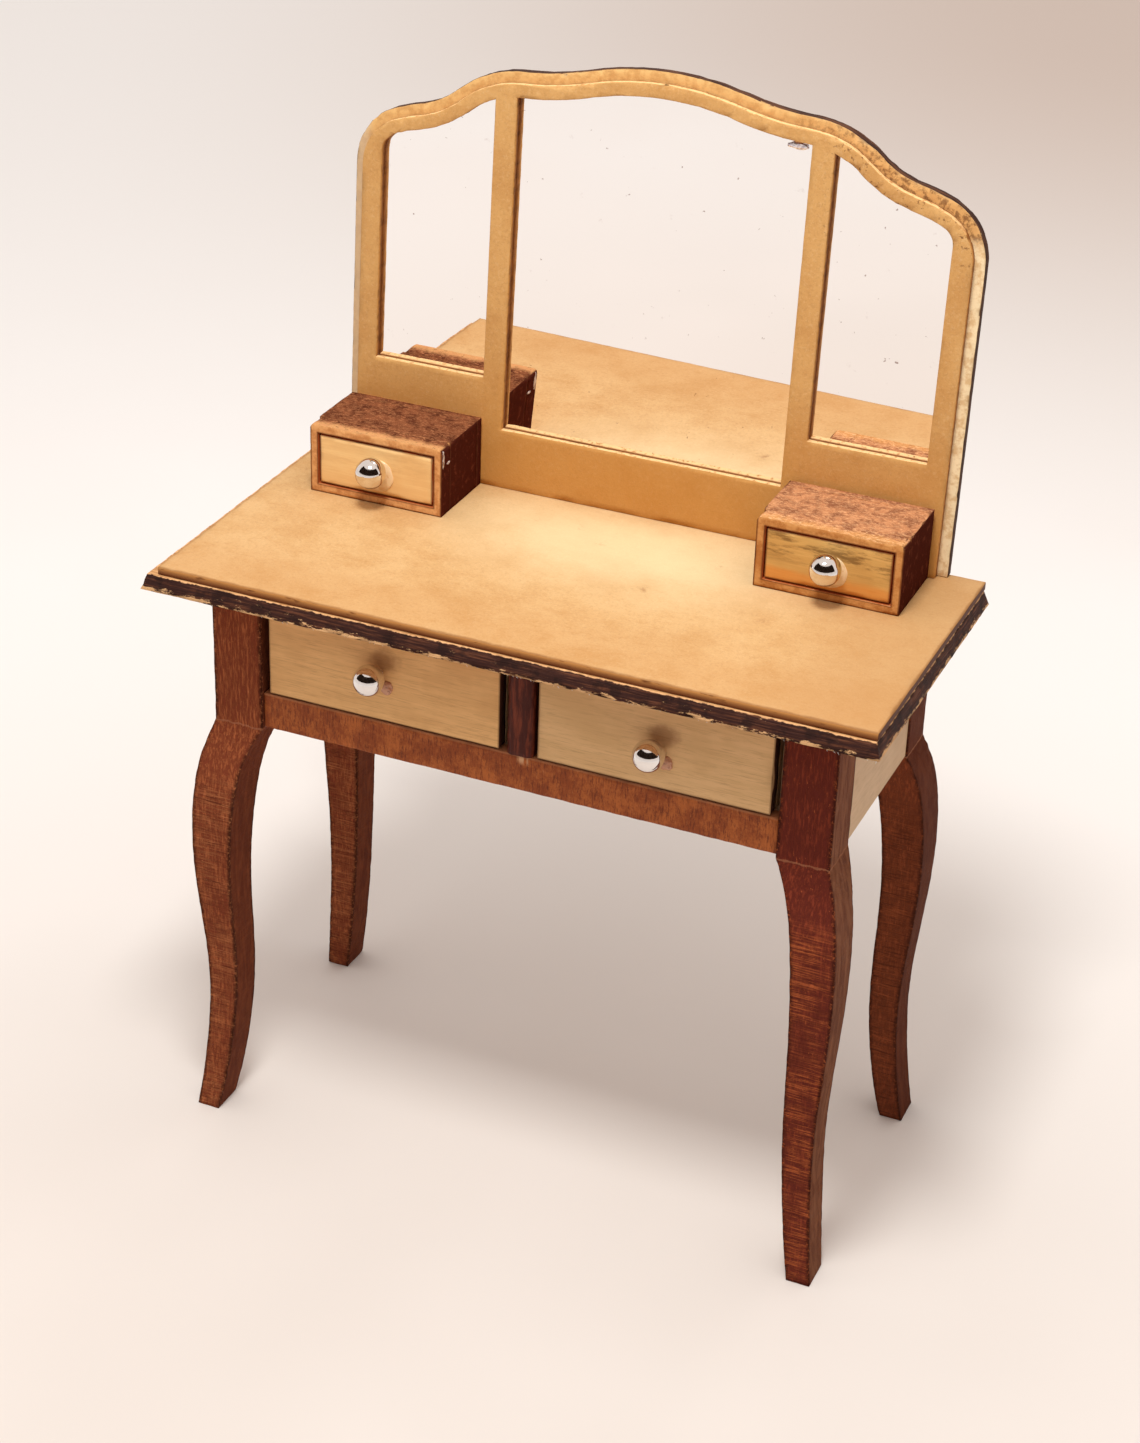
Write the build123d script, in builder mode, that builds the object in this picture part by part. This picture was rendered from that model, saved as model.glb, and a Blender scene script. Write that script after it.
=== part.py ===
"""Miniature dressing table: a laser-cut ply and card table with a three-part mirror and four drawers."""

from build123d import *
import os
from math import cos, radians, sin, sqrt

os.makedirs("parts", exist_ok=True)

# ---- Driving dimensions, in millimetres ----

# Tabletop
top_width = 72.4                # upper face of the top board
top_depth = 32.8
top_thickness = 1.55
edge_flare = 0.5                # the cut sides slope outward by this much at the bottom
sheet_thickness = 0.85
sheet_left_rim = 1.05           # strips of the board that the card sheet leaves bare
sheet_front_rim = 0.25
sheet_rear_reach = 0.3          # the card passes the board's upper rear edge by this much

# Legs
leg_height = 60.95              # floor to the underside of the top board
block_width = 5.25
block_depth = 5.35
block_height = 15.15
side_overhang = 4.45            # from the top board's upper edge to the blocks' outer faces
front_overhang = 4.3
rear_overhang = 0.1
knee_reach = 1.97               # how far the knee stands out beyond the block

# Down the curved part of a leg, from the block to the floor: shares of its height, of the knee's
# outward reach, and of the block's width and depth
leg_height_shares = [1.00, 0.94, 0.80, 0.60, 0.35, 0.20, 0.00]
leg_reach_shares = [0.00, 0.47, 0.96, 0.94, 0.57, 0.69, 1.20]
leg_width_shares = [1.000, 0.915, 0.850, 0.750, 0.610, 0.555, 0.475]
leg_depth_shares = [1.000, 0.985, 0.955, 0.820, 0.740, 0.745, 0.700]

# Rails, aprons and the drawer well
rail_height = 3.8
rail_thickness = 1.5
rail_lift = 0.2                 # the rail's lower edge is this far above the end of the blocks
rail_setback = 0.3
post_width = 2.83
post_depth = 2.0
post_offset = 0.65              # the post stands this far right of the middle
post_rounding = 0.8
apron_thickness = 1.5
apron_recess = 0.2
shelf_thickness = 1.0
guide_height = 7.0
guide_clearance = 0.3           # between a drawer's side and its guide

# Main drawers
drawer_setback = 0.25           # drawer fronts behind the blocks' front faces
drawer_front_thickness = 1.5
drawer_side_height = 9.0
drawer_wall = 0.9
drawer_bottom_thickness = 0.8
drawer_lift = 0.2               # clearance under a drawer
drawer_headroom = 0.25          # clearance above its front
drawer_stop_gap = 0.3           # clearance behind it when it is shut
drawer_leg_gaps = {"left": 0.75, "right": 0.85}
drawer_post_gaps = {"left": 0.65, "right": 0.45}
drawer_knob_offset = {"left": -0.67, "right": 0.12}   # right of the middle of its front
drawer_knob_rise = {"left": 4.95, "right": 4.1}

# Knobs: a ball on a collar, with a shank through the drawer front
knob_radius = 1.55
knob_collar_radius = 0.8
knob_collar_height = 0.3
shank_radius = 0.45
shank_clearance = 0.02
shank_tail = 0.3                # the shank's end stands out inside the drawer

# Small drawer cases on the tabletop
case_width = 14.45
case_depth = 9.15
case_height = 7.2
case_wall = 0.9
case_front_thickness = 2.0
case_back_thickness = 1.0
case_rounding = 0.5
case_inset = {"left": 0.78, "right": 1.7}   # from the mirror's side to the case's outer wall

# Small drawers
small_gap = 0.18                # all round a small drawer's front
small_front_thickness = 1.2
small_setback = 0.1
small_wall = 0.6
small_bottom_thickness = 0.5
small_side_height = 4.2
small_stop_gap = 0.25
small_knob_offset = 0.25
small_knob_rise = 0.35

# Mirror
mirror_height = 43.8            # of the back board, up its own slope
mirror_end_gap = {"left": 4.9, "right": 3.56}   # from the top board's ends to the mirror's sides
mirror_front = 1.45             # from the mirror's foot to the top board's upper rear edge
mirror_lean = 3.5               # degrees back from upright
back_thickness = 1.1
frame_thickness = 0.8
glass_thickness = 0.5
frame_inset = 1.05              # the back board's edge stands out this far round the frame
glass_inset = 2.05
glass_foot = 3.0
window_band = 2.4               # from the back board's edge to the windows' curved tops
outer_stile = 3.1
inner_stile = 2.25
centre_window_width = 29.5
centre_sill = 6.13
side_sill = 11.2
window_rounding = 2.0

# The back board's edge from the middle of its crown to its upright side: the arcs' radii as shares
# of half its width, and the slope, in degrees, at which each ends
arc_radius_shares = [0.960, 0.907, 0.350, 0.300, 0.719, 0.191]
arc_end_slopes = [-15, -2, -40, -13, -20, -90]

# ---- Derived levels and faces ----

board_top = leg_height + top_thickness
deck = board_top + sheet_thickness
block_bottom = leg_height - block_height
rail_bottom = block_bottom + rail_lift
rail_top = rail_bottom + rail_height

# The frame's origin is under the middle of the whole object, so the table stands a little forward
lean = radians(mirror_lean)
mirror_thickness = frame_thickness + back_thickness
front_reach = top_depth / 2 + edge_flare
rear_reach = top_depth / 2 - mirror_front + mirror_height * sin(lean) + mirror_thickness * cos(lean)
table_y = (front_reach - rear_reach) / 2

block_outer_x = top_width / 2 - side_overhang
block_inner_x = block_outer_x - block_width
block_front_y = table_y - top_depth / 2 + front_overhang
block_rear_y = table_y + top_depth / 2 - rear_overhang
front_block_back_y = block_front_y + block_depth
rear_block_face_y = block_rear_y - block_depth

rail_front_y = block_front_y + rail_setback
rail_back_y = rail_front_y + rail_thickness
post_back_y = block_front_y + post_depth
back_apron_outer_y = block_rear_y - apron_recess
back_apron_inner_y = back_apron_outer_y - apron_thickness
mirror_y = table_y + top_depth / 2 - mirror_front
mirror_sides = {
    "left": -top_width / 2 + mirror_end_gap["left"],
    "right": top_width / 2 - mirror_end_gap["right"],
}
mirror_x = (mirror_sides["left"] + mirror_sides["right"]) / 2
half_width = (mirror_sides["right"] - mirror_sides["left"]) / 2
case_front_y = mirror_y - case_depth
case_x = {
    "left": mirror_sides["left"] + case_inset["left"] + case_width / 2,
    "right": mirror_sides["right"] - case_inset["right"] - case_width / 2,
}


def save(builder, name):
    """Label a finished piece and write it to its own file."""
    builder.part.label = name
    export_step(builder.part, f"parts/{name}.step")


def block(x, y, z, mode=Mode.ADD):
    """A box between two values on each axis, added to the part being built or cut from it."""
    with BuildSketch(Plane.XY.offset(z[0])) as footprint:
        with Locations(((x[0] + x[1]) / 2, (y[0] + y[1]) / 2)):
            Rectangle(x[1] - x[0], y[1] - y[0])
    extrude(footprint.sketch, amount=z[1] - z[0], mode=mode)


# ---- Tabletop ----

with BuildPart() as top_board:
    with BuildSketch(Plane.XY.offset(leg_height)):
        with Locations((0, table_y)):
            Rectangle(top_width + 2 * edge_flare, top_depth + 2 * edge_flare)
    with BuildSketch(Plane.XY.offset(board_top)):
        with Locations((0, table_y)):
            Rectangle(top_width, top_depth)
    loft()
save(top_board, "top_board")

with BuildPart() as top_sheet:
    block(
        (-top_width / 2 + sheet_left_rim, top_width / 2),
        (table_y - top_depth / 2 + sheet_front_rim, table_y + top_depth / 2 + sheet_rear_reach),
        (board_top, deck),
    )
save(top_sheet, "top_sheet")


# ---- Legs ----

def leg_profile(outer, sign, width, width_shares):
    """One face view of a leg: outward is along the sketch's first axis, times sign."""
    outside = []
    inside = []
    for height_share, reach_share, width_share in zip(leg_height_shares, leg_reach_shares, width_shares):
        height = height_share * block_bottom
        reach = outer + knee_reach * reach_share
        outside.append((sign * reach, height))
        inside.append((sign * (reach - width * width_share), height))
    with BuildLine() as outline:
        Spline(*outside)
        Spline(*inside)
        Line(outside[-1], inside[-1])
        Polyline(
            outside[0],
            (sign * outer, leg_height),
            (sign * (outer - width), leg_height),
            inside[0],
        )
    make_face(outline.edges())


for end, outer_y, y_sign in (("front", -block_front_y, -1), ("rear", block_rear_y, 1)):
    for side, x_sign in (("left", -1), ("right", 1)):
        with BuildPart() as leg:
            with BuildSketch(Plane.XZ):
                leg_profile(block_outer_x, x_sign, block_width, leg_width_shares)
            extrude(amount=top_depth, both=True)
            with BuildSketch(Plane.YZ):
                leg_profile(outer_y, y_sign, block_depth, leg_depth_shares)
            extrude(amount=top_width, both=True, mode=Mode.INTERSECT)
        save(leg, f"leg_{end}_{side}")

# ---- Rail, post and aprons ----

with BuildPart() as front_rail:
    block((-block_inner_x, block_inner_x), (rail_front_y, rail_back_y), (rail_bottom, rail_top))
save(front_rail, "front_rail")

post_left_x = post_offset - post_width / 2
post_right_x = post_offset + post_width / 2

with BuildPart() as centre_post:
    block((post_left_x, post_right_x), (block_front_y, post_back_y), (rail_top, leg_height))
    front_edges = centre_post.edges().filter_by(Axis.Z).group_by(Axis.Y)[0]
    fillet(front_edges, radius=min(post_rounding, 0.45 * post_width))
save(centre_post, "centre_post")

for side, x_sign in (("left", -1), ("right", 1)):
    apron_outer_x = block_outer_x - apron_recess
    apron_faces = sorted((x_sign * apron_outer_x, x_sign * (apron_outer_x - apron_thickness)))
    with BuildPart() as side_apron:
        block(apron_faces, (front_block_back_y, rear_block_face_y), (rail_bottom, leg_height))
    save(side_apron, f"side_apron_{side}")

with BuildPart() as back_apron:
    block(
        (-block_inner_x, block_inner_x),
        (back_apron_inner_y, back_apron_outer_y),
        (rail_bottom, leg_height),
    )
save(back_apron, "back_apron")

# ---- Drawer well ----

with BuildPart() as drawer_shelf:
    block(
        (-block_inner_x, block_inner_x),
        (rail_back_y, back_apron_inner_y),
        (rail_top - shelf_thickness, rail_top),
    )
save(drawer_shelf, "drawer_shelf")

with BuildPart() as centre_divider:
    block((post_left_x, post_right_x), (post_back_y, back_apron_inner_y), (rail_top, leg_height))
save(centre_divider, "centre_divider")

for side, x_sign in (("left", -1), ("right", 1)):
    guide_thickness = drawer_leg_gaps[side] - guide_clearance
    guide_faces = sorted((x_sign * block_inner_x, x_sign * (block_inner_x - guide_thickness)))
    with BuildPart() as drawer_guide:
        block(guide_faces, (rail_back_y, back_apron_inner_y), (rail_top, rail_top + guide_height))
    save(drawer_guide, f"drawer_guide_{side}")


# ---- Drawers ----

def make_knob(name, x, face_y, z, front_thickness):
    """A ball knob on a drawer front's outer face, with its shank through the front."""
    knob_plane = Plane(origin=(x, face_y, z), x_dir=(0, -1, 0), z_dir=(1, 0, 0))
    ball_start = sqrt(knob_radius**2 - knob_collar_radius**2)
    centre = knob_collar_height + ball_start
    tail = -front_thickness - shank_tail
    with BuildPart() as knob:
        with BuildSketch(knob_plane):
            with BuildLine():
                Polyline(
                    (centre + knob_radius, 0),
                    (tail, 0),
                    (tail, shank_radius),
                    (0, shank_radius),
                    (0, knob_collar_radius),
                    (knob_collar_height, knob_collar_radius),
                )
                ThreePointArc(
                    (knob_collar_height, knob_collar_radius),
                    (centre, knob_radius),
                    (centre + knob_radius, 0),
                )
            make_face()
        revolve(axis=Axis((x, face_y, z), (0, -1, 0)))
    save(knob, name)


def make_drawer(name, x, y, z, front_thickness, front_height, side_height, wall, bottom, knob):
    """A drawer between two values on x and y, standing at height z: five panels and a knob."""
    knob_x, knob_z = knob
    box_y = y[0] + front_thickness
    with BuildPart() as front:
        block(x, (y[0], box_y), (z, z + front_height))
        with BuildSketch(Plane(origin=(knob_x, y[0], knob_z), z_dir=(0, 1, 0))):
            Circle(shank_radius + shank_clearance)
        extrude(amount=front_thickness, mode=Mode.SUBTRACT)
    save(front, f"{name}_front")
    for side, faces in (("left", (x[0], x[0] + wall)), ("right", (x[1] - wall, x[1]))):
        with BuildPart() as panel:
            block(faces, (box_y, y[1]), (z, z + side_height))
        save(panel, f"{name}_side_{side}")
    inside = (x[0] + wall, x[1] - wall)
    with BuildPart() as base:
        block(inside, (box_y, y[1] - wall), (z, z + bottom))
    save(base, f"{name}_bottom")
    with BuildPart() as back:
        block(inside, (y[1] - wall, y[1]), (z, z + side_height))
    save(back, f"{name}_back")
    make_knob(f"{name}_knob", knob_x, y[0], knob_z, front_thickness)


drawer_z = rail_top + drawer_lift
drawer_front_y = block_front_y + drawer_setback
drawer_back_y = back_apron_inner_y - drawer_stop_gap
drawer_spans = {
    "left": (-block_inner_x + drawer_leg_gaps["left"], post_left_x - drawer_post_gaps["left"]),
    "right": (post_right_x + drawer_post_gaps["right"], block_inner_x - drawer_leg_gaps["right"]),
}
for side, span in drawer_spans.items():
    make_drawer(
        f"drawer_{side}",
        span,
        (drawer_front_y, drawer_back_y),
        drawer_z,
        drawer_front_thickness,
        leg_height - drawer_headroom - drawer_z,
        drawer_side_height,
        drawer_wall,
        drawer_bottom_thickness,
        (sum(span) / 2 + drawer_knob_offset[side], drawer_z + drawer_knob_rise[side]),
    )

# ---- Small drawer cases ----

case_top = deck + case_height
case_body_y = case_front_y + case_front_thickness
case_back_y = mirror_y - case_back_thickness
small_z = deck + case_wall + small_gap
small_front_height = case_height - 2 * case_wall - 2 * small_gap

for side, x in case_x.items():
    outer = (x - case_width / 2, x + case_width / 2)
    inner = (outer[0] + case_wall, outer[1] - case_wall)
    well = (deck + case_wall, case_top - case_wall)
    with BuildPart() as case_front:
        block(outer, (case_front_y, case_body_y), (deck, case_top))
        top_edges = case_front.faces().sort_by(Axis.Z)[-1].edges()
        fillet(top_edges.filter_by(Axis.Y), radius=case_rounding)
        block(inner, (case_front_y, case_body_y), well, mode=Mode.SUBTRACT)
    save(case_front, f"case_{side}_front")
    with BuildPart() as case_body:
        block(outer, (case_body_y, case_back_y), (deck, case_top))
        block(inner, (case_body_y, case_back_y), well, mode=Mode.SUBTRACT)
    save(case_body, f"case_{side}_body")
    with BuildPart() as case_back:
        block(outer, (case_back_y, mirror_y), (deck, case_top))
    save(case_back, f"case_{side}_back")
    make_drawer(
        f"small_drawer_{side}",
        (inner[0] + small_gap, inner[1] - small_gap),
        (case_front_y + small_setback, case_back_y - small_stop_gap),
        small_z,
        small_front_thickness,
        small_front_height,
        small_side_height,
        small_wall,
        small_bottom_thickness,
        (x + small_knob_offset, deck + case_height / 2 + small_knob_rise),
    )

# ---- Mirror ----

mirror_plane = Plane(
    origin=(mirror_x, mirror_y, deck), x_dir=(1, 0, 0), z_dir=(0, -cos(lean), sin(lean))
)
joint_plane = mirror_plane.offset(-frame_thickness)
foot = -2 * mirror_thickness * sin(lean)


def arcs_half_width():
    """Half the width that the arcs reach together, as a share of the back board's own."""
    width = 0
    slope = 0
    for radius_share, end_slope in zip(arc_radius_shares, arc_end_slopes):
        width += radius_share * abs(sin(radians(end_slope)) - sin(radians(slope)))
        slope = end_slope
    return width


arc_scale = half_width / arcs_half_width()


def shield(inset):
    """The scalloped outline drawn this far inside the back board's edge, down past the deck."""
    with BuildLine() as outline:
        point = Vector(0, mirror_height - inset)
        direction = Vector(1, 0)
        slope = 0
        for radius_share, end_slope in zip(arc_radius_shares, arc_end_slopes):
            turn = end_slope - slope
            radius = radius_share * arc_scale
            arc = JernArc(point, direction, radius + inset * (1 if turn > 0 else -1), turn)
            point = arc @ 1
            direction = arc % 1
            slope = end_slope
        Line(point, (point.X, foot))
        Line((point.X, foot), (0, foot))
        mirror(about=Plane.YZ)
    make_face(outline.edges())


side_window = (centre_window_width / 2 + inner_stile, half_width - outer_stile)
shoulder_radius = arc_radius_shares[-1] * arc_scale - window_band
corner_radius = min(window_rounding, 0.55 * shoulder_radius)

with BuildPart() as mirror_frame:
    with BuildSketch(joint_plane):
        shield(frame_inset)
    extrude(amount=frame_thickness)
    with BuildSketch(joint_plane):
        shield(window_band)
        with Locations((0, centre_sill + mirror_height / 2)):
            Rectangle(centre_window_width, mirror_height, mode=Mode.INTERSECT)
    extrude(amount=frame_thickness, mode=Mode.SUBTRACT)
    for x_sign in (-1, 1):
        with BuildSketch(joint_plane) as window:
            shield(window_band)
            with Locations((x_sign * sum(side_window) / 2, side_sill + mirror_height / 2)):
                Rectangle(side_window[1] - side_window[0], mirror_height, mode=Mode.INTERSECT)
            outer_corner = window.vertices().group_by(Axis.X)[0 if x_sign < 0 else -1].sort_by(Axis.Y)[-1]
            fillet(outer_corner, radius=corner_radius)
        extrude(amount=frame_thickness, mode=Mode.SUBTRACT)
    split(bisect_by=Plane.XY.offset(deck), keep=Keep.TOP)
save(mirror_frame, "mirror_frame")

with BuildPart() as mirror_glass:
    with BuildSketch(joint_plane):
        shield(glass_inset)
        with Locations((0, glass_foot + mirror_height / 2)):
            Rectangle(2 * half_width, mirror_height, mode=Mode.INTERSECT)
    extrude(amount=-glass_thickness)
save(mirror_glass, "mirror_glass")

with BuildPart() as mirror_back:
    with BuildSketch(joint_plane):
        shield(0)
    extrude(amount=-back_thickness)
    with BuildSketch(joint_plane):
        shield(glass_inset)
        with Locations((0, glass_foot + mirror_height / 2)):
            Rectangle(2 * half_width, mirror_height, mode=Mode.INTERSECT)
    extrude(amount=-glass_thickness, mode=Mode.SUBTRACT)
    split(bisect_by=Plane.XY.offset(deck), keep=Keep.TOP)
save(mirror_back, "mirror_back")

print("table_y", round(table_y, 4), "deck", deck, "half width", round(half_width, 3))
print("travel room: drawers", round(drawer_back_y - drawer_front_y, 2), "small", round(case_back_y - case_front_y, 2))
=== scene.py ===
from math import cos, pi, radians, sin

import bmesh
import bpy
from mathutils import Matrix, Vector, noise


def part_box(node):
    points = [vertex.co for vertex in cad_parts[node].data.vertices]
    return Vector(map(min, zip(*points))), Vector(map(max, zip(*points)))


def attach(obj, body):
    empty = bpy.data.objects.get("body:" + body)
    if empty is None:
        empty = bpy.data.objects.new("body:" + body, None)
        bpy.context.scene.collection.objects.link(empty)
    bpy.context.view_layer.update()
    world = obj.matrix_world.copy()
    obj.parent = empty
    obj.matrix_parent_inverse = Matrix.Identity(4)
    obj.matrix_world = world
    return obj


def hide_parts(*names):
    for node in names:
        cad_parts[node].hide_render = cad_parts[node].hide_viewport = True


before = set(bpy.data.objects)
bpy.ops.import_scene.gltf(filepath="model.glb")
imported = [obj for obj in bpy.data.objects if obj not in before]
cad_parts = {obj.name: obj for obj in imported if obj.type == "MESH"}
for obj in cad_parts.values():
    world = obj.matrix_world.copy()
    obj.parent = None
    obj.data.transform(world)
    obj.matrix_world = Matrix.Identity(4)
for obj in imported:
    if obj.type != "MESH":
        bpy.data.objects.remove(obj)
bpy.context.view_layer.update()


# ---- Camera ----
# A long lens from the front, a little to the right and above, at about an arm's length.
# Its place is measured from the middle of the tabletop, at floor level.

top_low, top_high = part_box("top_board")
table_middle = (top_low + top_high) / 2
table_middle.z = 0

eye = bpy.data.cameras.new("camera")
eye.sensor_fit = "HORIZONTAL"
eye.sensor_width = 36
eye.lens = 89.36
eye.clip_start = 0.01
eye.clip_end = 20
camera = bpy.data.objects.new("camera", eye)
camera_place = Vector((0.09287, -0.22201, 0.18166))
turn_left, look_down, roll = radians(22.526), radians(29.157), radians(2.03)
camera.location = table_middle + camera_place
camera.rotation_euler = (
    Matrix.Rotation(turn_left, 3, "Z")
    @ Matrix.Rotation(radians(90) - look_down, 3, "X")
    @ Matrix.Rotation(roll, 3, "Z")
).to_euler()
bpy.context.scene.collection.objects.link(camera)
bpy.context.scene.camera = camera
bpy.context.scene.view_settings.view_transform = "Standard"


# ---- Floor, lamp and sky ----
# A plain pale sheet of board to stand on, a small lamp above and in front, and an even pale
# sky all round. Together they light an upward-facing surface at about its own colour.

to_mm = 1000


def srgb(red, green, blue):
    """A colour written 0 to 255, as the shader wants it."""
    shares = [value / 255 for value in (red, green, blue)]
    return tuple(v / 12.92 if v < 0.04045 else ((v + 0.055) / 1.055) ** 2.4 for v in shares) + (1,)


def node(tree, kind, settings=None, **inputs):
    """A node with its settings, each input a plain value or another node's output. Inputs go by
    name, or by number as n0, n1 and so on."""
    made = tree.nodes.new(kind)
    for name, value in (settings or {}).items():
        setattr(made, name, value)
    for name, value in inputs.items():
        numbered = name[0] == "n" and name[1:].isdigit()
        socket = made.inputs[int(name[1:]) if numbered else name]
        if isinstance(value, bpy.types.NodeSocket):
            tree.links.new(value, socket)
        else:
            socket.default_value = value
    return made


def new_finish(name, roughness, sheen=0.15, metallic=0.0):
    """An empty material: itself, its tree, its shader and its coordinates in millimetres."""
    made = bpy.data.materials.new(name)
    made.use_nodes = True
    tree = made.node_tree
    shader = tree.nodes["Principled BSDF"]
    shader.inputs["Roughness"].default_value = roughness
    shader.inputs["Specular IOR Level"].default_value = sheen
    shader.inputs["Metallic"].default_value = metallic
    place = tree.nodes.new("ShaderNodeTexCoord").outputs["Object"]
    return made, tree, shader, stretched(tree, place, (to_mm, to_mm, to_mm))


def stretched(tree, place, scale, shift=(0, 0, 0), turn=(0, 0, 0)):
    """The coordinates scaled, shifted and turned."""
    return node(tree, "ShaderNodeMapping", n0=place, n1=shift, n2=turn, n3=scale).outputs[0]


def cloud(tree, place, size, detail=3.0, roughness=0.55):
    """Soft random patches about this many millimetres across."""
    return node(
        tree, "ShaderNodeTexNoise", Vector=place, Scale=1 / size, Detail=detail, Roughness=roughness
    ).outputs["Fac"]


def band(tree, value, start, stop):
    """Zero up to start, one from stop on, with a soft step between. Stop may be the lower one."""
    smooth = {"interpolation_type": "SMOOTHSTEP"}
    return node(tree, "ShaderNodeMapRange", smooth, n0=value, n1=start, n2=stop).outputs[0]


def maths(tree, how, first, second=0.0):
    """One sum of two values."""
    return node(tree, "ShaderNodeMath", {"operation": how}, n0=first, n1=second).outputs[0]


def plus(tree, first, second):
    """The two values added."""
    return maths(tree, "ADD", first, second)


def minus(tree, first, second):
    """The first value less the second."""
    return maths(tree, "SUBTRACT", first, second)


def times(tree, first, second):
    """The two values multiplied."""
    return maths(tree, "MULTIPLY", first, second)


def most(tree, first, *others):
    """The largest of the values."""
    for other in others:
        first = maths(tree, "MAXIMUM", first, other)
    return first


def size_of(tree, value):
    """The value without its sign."""
    return maths(tree, "ABSOLUTE", value)


def parts(tree, vector):
    """The three parts of a vector."""
    return node(tree, "ShaderNodeSeparateXYZ", n0=vector).outputs


def length_of(tree, vector):
    """How long a vector is."""
    return node(tree, "ShaderNodeVectorMath", {"operation": "LENGTH"}, n0=vector).outputs["Value"]


def coat(tree, under, over, share, strength=1.0):
    """One colour laid over another, by share and at this strength."""
    if strength != 1.0:
        share = times(tree, share, strength)
    return node(
        tree, "ShaderNodeMix", {"data_type": "RGBA"}, n0=share, n6=under, n7=over
    ).outputs[2]


def relief(tree, shader, height, depth, sharpness=1.0):
    """Bumps of this depth in metres on the shader."""
    made = node(tree, "ShaderNodeBump", Height=height, Distance=depth, Strength=sharpness)
    tree.links.new(made.outputs[0], shader.inputs["Normal"])


def colour(tree, shader, value):
    """The shader's colour from the tree."""
    tree.links.new(value, shader.inputs["Base Color"])


def new_piece(name, mesh, finish, body, slot, *stands_for):
    """A mesh in this finish as a piece of the table, riding on a body."""
    mesh.materials.append(finish)
    made = bpy.data.objects.new(name, mesh)
    bpy.context.scene.collection.objects.link(made)
    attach(made, body)
    if stands_for:
        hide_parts(*stands_for)
    return made


# Painted shade on the floor: its colour is deeper under the lamp, where most light falls, to even
# out the lamp's pool of light, and deeper towards the far right as a painted falloff of the light
# there
floor_finish, tree, shader, place = new_finish("pale_floor", 0.85, 0.1)
lamp_foot = table_middle + Vector((0.015, -0.085, 0))
from_lamp = stretched(tree, place, (1, 1, 0), shift=tuple(lamp_foot * -to_mm))
spread = length_of(tree, from_lamp)
tone = coat(tree, srgb(224, 214, 206), srgb(253, 250, 247), band(tree, spread, 50.0, 250.0))
rightward, away, _ = parts(tree, stretched(tree, place, (1, 1, 1), turn=(0, 0, radians(-22.5))))
# Painted shade: the floor is darker towards the far right, as the camera sees it
far_right_shade = times(tree, band(tree, away, 80.0, 420.0), band(tree, rightward, -140.0, 130.0))
tone = coat(tree, tone, srgb(222, 206, 195), far_right_shade)
soft_marks = band(tree, cloud(tree, place, 60.0, 2.0), 0.35, 0.75)
nearby = band(tree, spread, 420.0, 200.0)
tone = coat(tree, tone, srgb(246, 238, 232), times(tree, soft_marks, nearby), 0.25)
colour(tree, shader, tone)

floor_mesh = bpy.data.meshes.new("floor")
half_width = 4.0
corners = [(x * half_width, y * half_width, 0) for x, y in ((-1, -1), (1, -1), (1, 1), (-1, 1))]
floor_mesh.from_pydata(corners, [], [(0, 1, 2, 3)])
floor_mesh.materials.append(floor_finish)
floor = bpy.data.objects.new("floor", floor_mesh)
bpy.context.scene.collection.objects.link(floor)

sky = bpy.data.worlds.new("sky")
bpy.context.scene.world = sky
sky.use_nodes = True
tree = sky.node_tree
upward = parts(tree, tree.nodes.new("ShaderNodeTexCoord").outputs["Generated"])[2]
low_down, overhead = (0.15, 0.14, 0.14, 1), (1.05, 0.98, 0.938, 1)
light = coat(tree, low_down, overhead, band(tree, upward, 0.28, 0.70))
path = node(tree, "ShaderNodeLightPath").outputs
seen = most(tree, path["Is Camera Ray"], path["Is Glossy Ray"], path["Is Transmission Ray"])
light = coat(tree, light, srgb(243, 231, 223), seen)
tree.links.new(light, tree.nodes["Background"].inputs["Color"])

lamp_light = bpy.data.lights.new("lamp", "AREA")
lamp_light.shape = "DISK"
lamp_light.size = 0.06
lamp_light.energy = 0.5
lamp_light.color = srgb(252, 255, 255)[:3]
lamp = bpy.data.objects.new("lamp", lamp_light)
lamp_height, aim_height = Vector((0, 0, 0.30)), Vector((0, 0, 0.03))
lamp.location = lamp_foot + lamp_height
lamp.rotation_euler = (
    table_middle + aim_height - lamp.location
).to_track_quat("-Z", "Y").to_euler()
bpy.context.scene.collection.objects.link(lamp)

# A dark cloth hung round the front. Only mirroring metal shows it, as the dark band on each knob
cloth, tree, shader, place = new_finish("dark_cloth", 0.9, 0.0)
colour(tree, shader, coat(tree, srgb(58, 44, 36), srgb(34, 26, 22), cloud(tree, place, 90.0)))
cloth_mesh = bpy.data.meshes.new("dark_cloth")
cloth_distance, cloth_foot, cloth_head = 0.45, 0.10, 0.58
turns = [radians(angle - 90) for angle in range(-70, 91, 10)]
ring = [(cloth_distance * cos(turn), cloth_distance * sin(turn)) for turn in turns]
cloth_mesh.from_pydata(
    [(x, y, height) for height in (cloth_foot, cloth_head) for x, y in ring], [],
    [(i, i + 1, i + 1 + len(ring), i + len(ring)) for i in range(len(ring) - 1)],
)
cloth_mesh.materials.append(cloth)
hung_cloth = bpy.data.objects.new("dark_cloth", cloth_mesh)
hung_cloth.visible_camera = False
hung_cloth.visible_diffuse = False
hung_cloth.visible_shadow = False
bpy.context.scene.collection.objects.link(hung_cloth)


# ---- Top board ----
# A thin plywood board, cut by a laser that left its sides nearly black, a hair of bare wood
# along the upper rim and pale chips where the lower edge has rubbed.

def poured(shell, mesh, sharp_angle=None):
    """The mesh filled from a shell, shaded smooth but for corners beyond this angle in degrees."""
    shell.to_mesh(mesh)
    shell.free()
    mesh.shade_smooth()
    if sharp_angle:
        mesh.set_sharp_from_angle(angle=radians(sharp_angle))
    return mesh


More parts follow.
